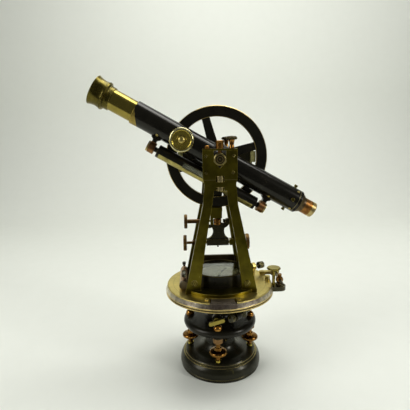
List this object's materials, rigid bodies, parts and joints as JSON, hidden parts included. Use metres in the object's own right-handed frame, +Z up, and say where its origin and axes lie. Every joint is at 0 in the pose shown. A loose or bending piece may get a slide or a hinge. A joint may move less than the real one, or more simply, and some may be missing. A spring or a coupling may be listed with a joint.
{
  "type": "theodolite",
  "caption": "Surveying theodolite: transit telescope with vertical circle on A-shaped standards, compass plate with verniers, and a ball-jointed levelling head.",
  "frame": {"origin": "centre of the lower parallel plate's underside, on the vertical axis", "axes": "+Z up the vertical axis, +Y along the telescope's transverse axis towards the vertical circle, +X towards the upper clamp; the telescope's eye end points to +X at rest"},
  "size_m": [0.2821, 0.14, 0.3739],
  "materials": {
    "lower_parallel_plate": "dark bronze lacquer, worn at the edges",
    "ball_seat_ring": "bare brass",
    "half_ball": "bare brass",
    "upper_parallel_plate": "glossy black lacquer",
    "levelling_screw_caps": "worn copper-brown brass",
    "lower_clamp_collar": "black lacquer",
    "lower_clamp_screw": "polished brass",
    "lower_tangent_screw": "dark brass",
    "horizontal_limb": "silvered bevel over lacquered brass",
    "outer_axis": "bare brass",
    "upper_clamp": "dark lacquer",
    "upper_clamp_screw": "lacquered brass",
    "upper_tangent_screw": "dark brass",
    "tangent_ball_nut": "worn copper-brown brass",
    "vernier_plate": "gold-lacquered brass",
    "inner_axis": "bare brass",
    "plate_verniers": "silvered",
    "compass_box": "black lacquer",
    "compass_dial": "silvered",
    "compass_glass": "clear",
    "compass_needle": "blued and bare steel",
    "needle_lifter_screw": "dark brass",
    "front_standard": "olive-brown lacquer",
    "rear_standard": "olive-brown lacquer",
    "bearing_caps": "lacquered brass",
    "front_cap_knob": "lacquered brass",
    "rear_cap_knob": "lacquered brass",
    "bearing_screws": "worn copper-brown brass",
    "transverse_axis": "black lacquer, bare journals",
    "telescope_tube": "glossy black lacquer",
    "vertical_circle": "black lacquer with brass edges",
    "focus_knob": "dark brass",
    "focus_pinion": "bare brass",
    "draw_tube": "lacquered brass",
    "objective_cell": "lacquered brass",
    "ray_shade": "lacquered brass",
    "objective_lens": "clear",
    "eyepiece_tube": "lacquered brass, worn at the eye end",
    "eyepiece_lens": "clear",
    "reticle_ring": "bare brass",
    "reticle_screws": "worn copper-brown brass",
    "telescope_level": "black lacquer",
    "level_vial": "clear",
    "level_posts": "black lacquer",
    "vernier_frame": "dark lacquer",
    "clip_screw_left": "dark brass with a copper-brown stem",
    "clip_screw_right": "dark brass with a copper-brown stem",
    "circle_clamp": "olive-brown lacquer",
    "circle_clamp_screw": "worn copper-brown brass",
    "vertical_tangent_screw": "dark brass with a copper-brown stem",
    "plate_level": "black lacquer",
    "plate_level_vial": "clear",
    "levelling_screw_1": "dark brass",
    "levelling_foot_1": "bare brass",
    "levelling_screw_2": "dark brass",
    "levelling_foot_2": "bare brass",
    "levelling_screw_3": "dark brass",
    "levelling_foot_3": "bare brass",
    "levelling_screw_4": "dark brass",
    "levelling_foot_4": "bare brass"
  },
  "bodies": {
    "base": {"lower_parallel_plate": "lower_parallel_plate"},
    "seat": {"ball_seat_ring": "ball_seat_ring"},
    "head": {"upper_parallel_plate": "upper_parallel_plate", "half_ball": "half_ball", "levelling_screw_caps": "levelling_screw_caps"},
    "lower_clamp": {"lower_clamp_collar": "lower_clamp_collar"},
    "lower_clamp_wing": {"lower_clamp_screw": "lower_clamp_screw"},
    "lower_tangent": {"lower_tangent_screw": "lower_tangent_screw"},
    "limb": {"horizontal_limb": "horizontal_limb", "outer_axis": "outer_axis"},
    "upper_clamp": {"upper_clamp": "upper_clamp", "tangent_ball_nut": "tangent_ball_nut"},
    "upper_clamp_knob": {"upper_clamp_screw": "upper_clamp_screw"},
    "upper_tangent": {"upper_tangent_screw": "upper_tangent_screw"},
    "alidade": {"vernier_plate": "vernier_plate", "inner_axis": "inner_axis", "plate_verniers": "plate_verniers", "compass_box": "compass_box", "compass_dial": "compass_dial", "compass_glass": "compass_glass", "front_standard": "front_standard", "rear_standard": "rear_standard", "bearing_caps": "bearing_caps", "bearing_screws": "bearing_screws", "plate_level": "plate_level", "plate_level_vial": "plate_level_vial"},
    "needle": {"compass_needle": "compass_needle"},
    "lifter": {"needle_lifter_screw": "needle_lifter_screw"},
    "cap_knob_front": {"front_cap_knob": "front_cap_knob"},
    "cap_knob_rear": {"rear_cap_knob": "rear_cap_knob"},
    "frame": {"vernier_frame": "vernier_frame"},
    "clip_left": {"clip_screw_left": "clip_screw_left"},
    "clip_right": {"clip_screw_right": "clip_screw_right"},
    "vertical_tangent": {"vertical_tangent_screw": "vertical_tangent_screw"},
    "vertical_clamp": {"circle_clamp": "circle_clamp"},
    "vertical_clamp_knob": {"circle_clamp_screw": "circle_clamp_screw"},
    "telescope": {"transverse_axis": "transverse_axis", "telescope_tube": "telescope_tube", "vertical_circle": "vertical_circle", "reticle_ring": "reticle_ring", "reticle_screws": "reticle_screws", "telescope_level": "telescope_level", "level_vial": "level_vial", "level_posts": "level_posts"},
    "focus": {"focus_knob": "focus_knob", "focus_pinion": "focus_pinion"},
    "draw": {"draw_tube": "draw_tube", "objective_cell": "objective_cell", "objective_lens": "objective_lens"},
    "shade": {"ray_shade": "ray_shade"},
    "eyepiece": {"eyepiece_tube": "eyepiece_tube", "eyepiece_lens": "eyepiece_lens"},
    "foot_1": {"levelling_foot_1": "levelling_foot_1"},
    "screw_1": {"levelling_screw_1": "levelling_screw_1"},
    "foot_2": {"levelling_foot_2": "levelling_foot_2"},
    "screw_2": {"levelling_screw_2": "levelling_screw_2"},
    "foot_3": {"levelling_foot_3": "levelling_foot_3"},
    "screw_3": {"levelling_screw_3": "levelling_screw_3"},
    "foot_4": {"levelling_foot_4": "levelling_foot_4"},
    "screw_4": {"levelling_screw_4": "levelling_screw_4"}
  },
  "joints": [
    {"name": "tilt_across", "type": "hinge", "parent": "base", "child": "seat", "pos_m": [0, 0, 0.016], "axis": [0.9917, -0.1288, 0], "range_deg": [-3, 3]},
    {"name": "tilt_along", "type": "hinge", "parent": "seat", "child": "head", "pos_m": [0, 0, 0.016], "axis": [0.1288, 0.9917, 0], "range_deg": [-3, 3]},
    {"name": "foot_1_slide", "type": "slide", "parent": "head", "child": "foot_1", "axis": [0, 0, 1], "range_m": [-0.0022, 0.0022]},
    {"name": "screw_1_turn", "type": "hinge", "parent": "foot_1", "child": "screw_1", "pos_m": [-0.00515, -0.03967, 0.03], "axis": [0, 0, 1], "range_deg": [-760, 760]},
    {"name": "foot_2_slide", "type": "slide", "parent": "head", "child": "foot_2", "axis": [0, 0, 1], "range_m": [-0.0022, 0.0022]},
    {"name": "screw_2_turn", "type": "hinge", "parent": "foot_2", "child": "screw_2", "pos_m": [0.03967, -0.00515, 0.03], "axis": [0, 0, 1], "range_deg": [-760, 760]},
    {"name": "foot_3_slide", "type": "slide", "parent": "head", "child": "foot_3", "axis": [0, 0, 1], "range_m": [-0.0022, 0.0022]},
    {"name": "screw_3_turn", "type": "hinge", "parent": "foot_3", "child": "screw_3", "pos_m": [0.00515, 0.03967, 0.03], "axis": [0, 0, 1], "range_deg": [-760, 760]},
    {"name": "foot_4_slide", "type": "slide", "parent": "head", "child": "foot_4", "axis": [0, 0, 1], "range_m": [-0.0022, 0.0022]},
    {"name": "screw_4_turn", "type": "hinge", "parent": "foot_4", "child": "screw_4", "pos_m": [-0.03967, 0.00515, 0.03], "axis": [0, 0, 1], "range_deg": [-760, 760]},
    {"name": "lower_motion", "type": "hinge", "parent": "head", "child": "lower_clamp", "pos_m": [0, 0, 0.078], "axis": [0, 0, 1], "continuous": true},
    {"name": "lower_clamp_turn", "type": "hinge", "parent": "lower_clamp", "child": "lower_clamp_wing", "pos_m": [0, 0, 0.0788], "axis": [-0.1392, -0.9903, 0], "range_deg": [-180, 180]},
    {"name": "lower_slow", "type": "hinge", "parent": "lower_clamp", "child": "limb", "pos_m": [0, 0, 0.1], "axis": [0, 0, 1], "range_deg": [-2.5, 2.5]},
    {"name": "lower_tangent_turn", "type": "hinge", "parent": "lower_clamp", "child": "lower_tangent", "pos_m": [0.02828, -0.03371, 0.084], "axis": [-0.766, -0.6428, 0], "range_deg": [-1000, 1000]},
    {"name": "upper_motion", "type": "hinge", "parent": "limb", "child": "upper_clamp", "pos_m": [0, 0, 0.1], "axis": [0, 0, 1], "continuous": true},
    {"name": "upper_clamp_turn", "type": "hinge", "parent": "upper_clamp", "child": "upper_clamp_knob", "pos_m": [0.0724, 0, 0.11], "axis": [0, 0, 1], "range_deg": [-180, 180]},
    {"name": "upper_slow", "type": "hinge", "parent": "upper_clamp", "child": "alidade", "pos_m": [0, 0, 0.112], "axis": [0, 0, 1], "range_deg": [-2, 2]},
    {"name": "upper_tangent_turn", "type": "hinge", "parent": "alidade", "child": "upper_tangent", "pos_m": [0.0803, 0.025, 0.1122], "axis": [0, 1, 0], "range_deg": [-1500, 1500]},
    {"name": "needle_swing", "type": "hinge", "parent": "alidade", "child": "needle", "pos_m": [0, 0, 0.1225], "axis": [0, 0, 1], "continuous": true},
    {"name": "lifter_turn", "type": "hinge", "parent": "alidade", "child": "lifter", "pos_m": [0.05005, 0.02281, 0.1235], "axis": [0.91, 0.4147, 0], "range_deg": [0, 360]},
    {"name": "front_cap_knob_turn", "type": "hinge", "parent": "alidade", "child": "cap_knob_front", "pos_m": [0.0138, -0.034, 0.29], "axis": [0, 0, 1], "range_deg": [0, 720]},
    {"name": "rear_cap_knob_turn", "type": "hinge", "parent": "alidade", "child": "cap_knob_rear", "pos_m": [0.0138, 0.034, 0.29], "axis": [0, 0, 1], "range_deg": [0, 720]},
    {"name": "frame_set", "type": "hinge", "parent": "alidade", "child": "frame", "pos_m": [0, 0.0273, 0.2743], "axis": [0, 1, 0], "range_deg": [-0.4, 0.4]},
    {"name": "clip_left_turn", "type": "hinge", "parent": "alidade", "child": "clip_left", "pos_m": [-0.03, 0.0263, 0.1585], "axis": [1, 0, 0], "range_deg": [-380, 380]},
    {"name": "clip_right_turn", "type": "hinge", "parent": "alidade", "child": "clip_right", "pos_m": [0.03, 0.0263, 0.1585], "axis": [1, 0, 0], "range_deg": [-380, 380]},
    {"name": "vertical_slow", "type": "hinge", "parent": "frame", "child": "vertical_clamp", "pos_m": [0, 0.0273, 0.2743], "axis": [0, 1, 0], "range_deg": [-1.5, 1.5]},
    {"name": "vertical_tangent_turn", "type": "hinge", "parent": "frame", "child": "vertical_tangent", "pos_m": [-0.03, 0.0263, 0.1884], "axis": [1, 0, 0], "range_deg": [-1200, 1200]},
    {"name": "vertical_clamp_turn", "type": "hinge", "parent": "vertical_clamp", "child": "vertical_clamp_knob", "pos_m": [-0.0004, 0.0203, 0.19], "axis": [0, 0, 1], "range_deg": [-180, 180]},
    {"name": "elevation", "type": "hinge", "parent": "vertical_clamp", "child": "telescope", "pos_m": [0, 0, 0.2743], "axis": [0, 1, 0], "range_deg": [-87.7, 200.3]},
    {"name": "focus_turn", "type": "hinge", "parent": "telescope", "child": "focus", "pos_m": [-0.0439, -0.02, 0.29704], "axis": [0, 1, 0], "range_deg": [-430, 200]},
    {"name": "draw_slide", "type": "slide", "parent": "telescope", "child": "draw", "axis": [-0.8686, 0, 0.4955], "range_m": [-0.026, 0.012]},
    {"name": "shade_slide", "type": "slide", "parent": "draw", "child": "shade", "axis": [-0.8686, 0, 0.4955], "range_m": [0, 0.015]},
    {"name": "eyepiece_slide", "type": "slide", "parent": "telescope", "child": "eyepiece", "axis": [0.8686, 0, -0.4955], "range_m": [-0.003, 0.0015]}
  ],
  "couplings": [
    {"joint": "foot_1_slide", "follows": "tilt_across", "m_per_rad": 0.04},
    {"joint": "screw_1_turn", "follows": "tilt_across", "ratio": 251.33},
    {"joint": "foot_2_slide", "follows": "tilt_along", "m_per_rad": 0.04},
    {"joint": "screw_2_turn", "follows": "tilt_along", "ratio": 251.33},
    {"joint": "foot_3_slide", "follows": "tilt_across", "m_per_rad": -0.04},
    {"joint": "screw_3_turn", "follows": "tilt_across", "ratio": -251.33},
    {"joint": "foot_4_slide", "follows": "tilt_along", "m_per_rad": -0.04},
    {"joint": "screw_4_turn", "follows": "tilt_along", "ratio": -251.33},
    {"joint": "lower_tangent_turn", "follows": "lower_slow", "ratio": 394.94},
    {"joint": "upper_tangent_turn", "follows": "upper_slow", "ratio": 720.77},
    {"joint": "clip_left_turn", "follows": "frame_set", "ratio": 909.49},
    {"joint": "clip_right_turn", "follows": "frame_set", "ratio": 909.49},
    {"joint": "vertical_tangent_turn", "follows": "vertical_slow", "ratio": 771.04},
    {"joint": "focus_turn", "follows": "draw_slide", "rad_per_m": 285.71}
  ]
}
